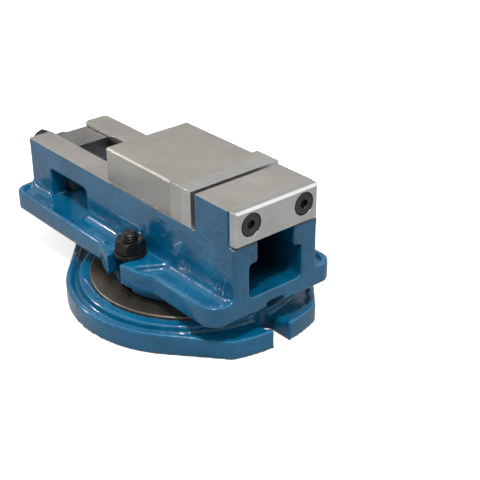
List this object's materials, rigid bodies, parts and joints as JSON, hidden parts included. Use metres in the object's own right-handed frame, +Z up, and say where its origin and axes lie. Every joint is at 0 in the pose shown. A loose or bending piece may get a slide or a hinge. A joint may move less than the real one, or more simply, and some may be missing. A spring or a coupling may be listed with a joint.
{
  "type": "swivel base machine vise",
  "caption": "Angle-lock machine vise on a round graduated swivel base with two slotted ears, a screw-driven moving jaw, a recessed fixed jaw plate and clamp bolts.",
  "frame": {"origin": "on the swivel axis, on the flat underside of the base", "axes": "+Z up, +X along the vise from the screw end towards the fixed jaw, +Y to the side away from the flush side of the moving jaw plate"},
  "size_m": [0.2075, 0.125, 0.075],
  "materials": {
    "blue_enamel": "gloss enamel over sand-cast iron",
    "ground_steel": "surface ground, lightly oiled",
    "plate_steel": "hardened and ground",
    "dial_steel": "turned, browned by oil",
    "turned_steel": "turned",
    "black_oxide": "black oxide",
    "bearing_brass": "plain"
  },
  "bodies": {
    "base": {"swivel_base": "blue_enamel", "degree_ring": "dial_steel", "centre_pin": "turned_steel"},
    "body": {"vise_body": "blue_enamel", "fixed_jaw_plate": "plate_steel", "fixed_plate_screws": "black_oxide", "screw_bracket": "ground_steel", "bracket_screws": "black_oxide", "rear_race": "turned_steel", "rear_thrust_washer": "bearing_brass", "clamp_bolts": "black_oxide", "clamp_washers": "black_oxide"},
    "near_nut": {"near_clamp_nut": "black_oxide"},
    "far_nut": {"far_clamp_nut": "black_oxide"},
    "jaw": {"moving_jaw": "ground_steel", "moving_jaw_plate": "plate_steel", "moving_plate_screws": "black_oxide", "lock_segment": "turned_steel", "screw_nut": "ground_steel", "jaw_set_screw": "black_oxide"},
    "screw": {"lead_screw": "turned_steel", "front_race": "turned_steel", "drive_hub": "black_oxide", "hub_pin": "turned_steel"},
    "cage": {"bearing_cage": "bearing_brass", "bearing_balls": "turned_steel"}
  },
  "joints": [
    {"name": "swivel", "type": "hinge", "parent": "base", "child": "body", "pos_m": [0, 0, 0.0133], "axis": [0, 0, 1], "continuous": true},
    {"name": "jaw_slide", "type": "slide", "parent": "body", "child": "jaw", "axis": [-1, 0, 0], "range_m": [-0.0026, 0.059]},
    {"name": "screw_spin", "type": "hinge", "parent": "body", "child": "screw", "pos_m": [-0.095, 0, 0.03775], "axis": [1, 0, 0], "range_deg": [-320, 7100]},
    {"name": "cage_spin", "type": "hinge", "parent": "body", "child": "cage", "pos_m": [-0.0814, 0, 0.03775], "axis": [1, 0, 0], "range_deg": [-160, 3550]},
    {"name": "near_nut_turn", "type": "hinge", "parent": "body", "child": "near_nut", "pos_m": [-0.0027, -0.0335, 0.0326], "axis": [0, 0, 1], "continuous": true},
    {"name": "far_nut_turn", "type": "hinge", "parent": "body", "child": "far_nut", "pos_m": [-0.0027, 0.0335, 0.0326], "axis": [0, 0, 1], "continuous": true}
  ],
  "couplings": [
    {"joint": "screw_spin", "follows": "jaw_slide", "rad_per_m": 2094.4},
    {"joint": "cage_spin", "follows": "jaw_slide", "rad_per_m": 1047.2}
  ]
}
